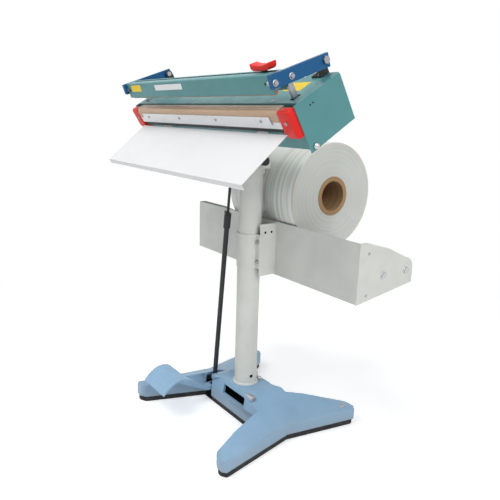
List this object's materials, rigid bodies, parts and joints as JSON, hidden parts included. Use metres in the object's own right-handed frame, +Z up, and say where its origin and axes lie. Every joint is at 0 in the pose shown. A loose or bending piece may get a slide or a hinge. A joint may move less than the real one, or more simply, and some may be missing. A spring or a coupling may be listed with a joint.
{
  "type": "foot-operated impulse heat sealer",
  "caption": "Foot-operated impulse heat sealer on a column, with pedal linkage, swinging jaw, sliding cutter, work table and a film roll in a rear trough.",
  "frame": {"origin": "on the floor, on the axis of the column", "axes": "+Z up, +X along the jaws to the operator's right, operator at -Y"},
  "size_m": [0.687, 0.5583, 0.9147],
  "materials": {
    "teal_paint": "satin",
    "blue_paint": "satin",
    "red_plastic": "glossy",
    "white_paint": "satin",
    "offwhite_paint": "satin",
    "base_paint": "satin",
    "black_rubber": "matte",
    "black_metal": "satin",
    "bright_steel": "satin",
    "chrome": "polished",
    "bar_aluminium": "brushed",
    "slip_cloth": "woven",
    "silicone": "matte",
    "film": "glossy",
    "card": "matte",
    "black_plastic": "matte",
    "coil": "matte",
    "board": "matte"
  },
  "bodies": {
    "stand": {"base_casting": "base_paint", "base_rubber_mat": "black_rubber", "column": "offwhite_paint", "column_gusset": "offwhite_paint", "hub_bolts": "bright_steel", "pedal_pivot_pin": "bright_steel", "housing_tray": "teal_paint", "top_cover": "teal_paint", "cheek_left": "teal_paint", "cheek_right": "teal_paint", "cord_gland": "black_plastic", "transformer": "coil", "timer_board": "board", "dome_feet": "chrome", "seal_bar": "bar_aluminium", "heating_strip": "bright_steel", "slip_cloth": "slip_cloth", "cloth_strip": "bar_aluminium", "strip_screws": "bright_steel", "under_channel": "black_metal", "end_blocks": "red_plastic", "work_table": "white_paint", "table_brackets": "white_paint", "pivot_lugs": "black_metal", "jaw_pivot_pins": "bright_steel", "lug_bolts": "bright_steel", "head_socket": "offwhite_paint", "head_gussets": "offwhite_paint", "head_flange": "offwhite_paint", "head_clamp_knob": "black_plastic", "trough_sheet": "offwhite_paint", "trough_ends": "offwhite_paint", "roller_shafts": "bright_steel", "shaft_nuts": "chrome", "trough_bracket": "offwhite_paint", "clamp_shell": "offwhite_paint", "clamp_bolts": "bright_steel"},
    "pedal": {"pedal_lever": "base_paint", "pedal_tread": "base_paint", "rod_pin": "bright_steel"},
    "pull_rod": {"lower_pull_rod": "black_metal", "rod_sleeve": "bright_steel", "upper_pull_rod": "black_metal", "rod_wing_nut": "bright_steel"},
    "yoke": {"link_bars": "bright_steel", "pull_yoke": "bright_steel"},
    "jaw": {"jaw_beam": "teal_paint", "pad_holder": "bar_aluminium", "sealing_pad": "silicone", "jaw_arms": "blue_paint", "arm_bolts": "bright_steel"},
    "cutter": {"cutter_carriage": "black_plastic", "cutter_blade": "bright_steel", "cutter_knob": "red_plastic"},
    "roll": {"film_roll": "film", "film_core": "card"},
    "front_roller": {"roller_front": "bar_aluminium"},
    "rear_roller": {"roller_rear": "bar_aluminium"},
    "dial": {"timer_dial": "black_plastic"},
    "rocker": {"power_rocker": "red_plastic"}
  },
  "joints": [
    {"name": "pedal_press", "type": "hinge", "parent": "stand", "child": "pedal", "pos_m": [-0.106, 0.042, 0.034], "axis": [1, 0, 0], "range_deg": [0, 15.53]},
    {"name": "rod_pull", "type": "slide", "parent": "stand", "child": "pull_rod", "axis": [0, 0.0823, -0.9966], "range_m": [0, 0.02029]},
    {"name": "yoke_pull", "type": "slide", "parent": "stand", "child": "yoke", "axis": [0, 0.5225, -0.8526], "range_m": [0, 0.01724]},
    {"name": "jaw_close", "type": "hinge", "parent": "stand", "child": "jaw", "pos_m": [0, -0.06879, 0.90043], "axis": [1, 0, 0], "range_deg": [0, 11.25]},
    {"name": "cutter_slide", "type": "slide", "parent": "jaw", "child": "cutter", "axis": [1, 0, 0], "range_m": [-0.524, 0]},
    {"name": "roll_spin", "type": "hinge", "parent": "stand", "child": "roll", "pos_m": [-0.017, 0.175, 0.60113], "axis": [1, 0, 0], "continuous": true},
    {"name": "front_roller_spin", "type": "hinge", "parent": "stand", "child": "front_roller", "pos_m": [0, 0.135, 0.452], "axis": [1, 0, 0], "continuous": true},
    {"name": "rear_roller_spin", "type": "hinge", "parent": "stand", "child": "rear_roller", "pos_m": [0, 0.215, 0.452], "axis": [1, 0, 0], "continuous": true},
    {"name": "timer_turn", "type": "hinge", "parent": "stand", "child": "dial", "pos_m": [-0.338, -0.08999, 0.80488], "axis": [-1, 0, 0], "range_deg": [0, 270]},
    {"name": "power_rock", "type": "hinge", "parent": "stand", "child": "rocker", "pos_m": [-0.328, -0.04906, 0.82996], "axis": [0, 0.8526, 0.5225], "range_deg": [0, 10]}
  ],
  "couplings": [
    {"joint": "rod_pull", "follows": "pedal_press", "m_per_rad": 0.074853},
    {"joint": "yoke_pull", "follows": "pedal_press", "m_per_rad": 0.063623},
    {"joint": "jaw_close", "follows": "pedal_press", "ratio": 0.7244},
    {"joint": "front_roller_spin", "follows": "roll_spin", "ratio": -7.1053},
    {"joint": "rear_roller_spin", "follows": "roll_spin", "ratio": -7.1053}
  ]
}
